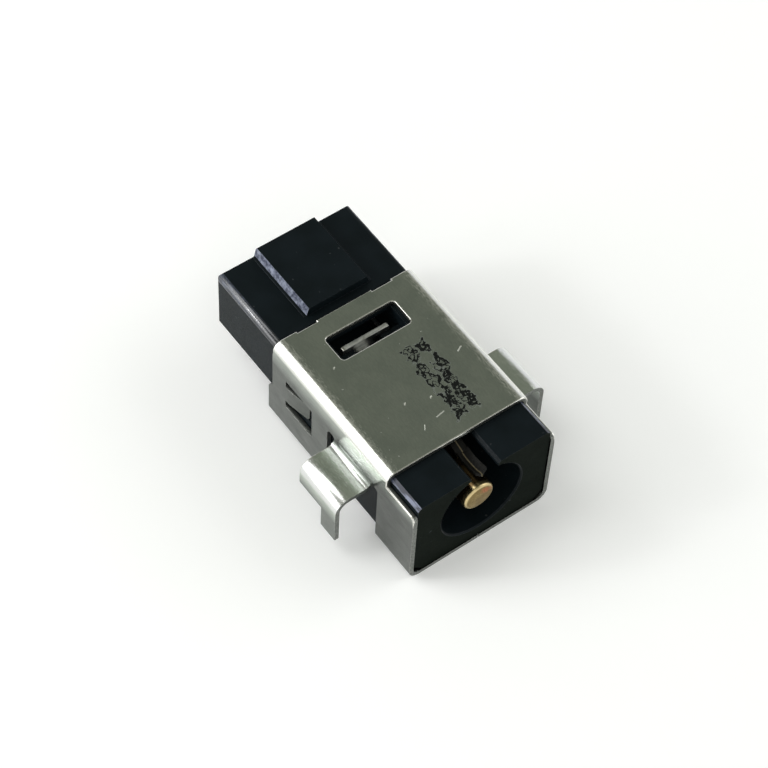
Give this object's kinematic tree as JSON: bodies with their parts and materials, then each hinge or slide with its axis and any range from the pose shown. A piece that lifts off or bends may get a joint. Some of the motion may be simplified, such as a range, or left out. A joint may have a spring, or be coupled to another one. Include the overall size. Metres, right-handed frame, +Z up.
{
  "type": "dc barrel jack",
  "caption": "Black moulded barrel power socket in a folded metal shell with side tabs, a gold centre pin, a sprung sleeve contact and solder tails under its stepped rear block.",
  "frame": {"origin": "middle of the bounding box in plan, level with the underside of the shell's strap and the ends of the solder tails", "axes": "+Z up from the board, +Y from the plug mouth to the rear face, +X across the part"},
  "size_m": [0.0152, 0.0202, 0.0079],
  "materials": {
    "shell_plate": "satin nickel plate, fine scuffs, burnished cut edges and bends",
    "moulding": "black moulding with a faint sheen and pale worn edges",
    "gold_plate": "gold plate, satin tip",
    "tin_plate": "tin plate over copper alloy"
  },
  "bodies": {
    "root": {"shell": "shell_plate", "housing": "moulding", "centre_pin": "gold_plate", "pin_terminal": "tin_plate", "sleeve_spring": "tin_plate"}
  },
  "joints": []
}
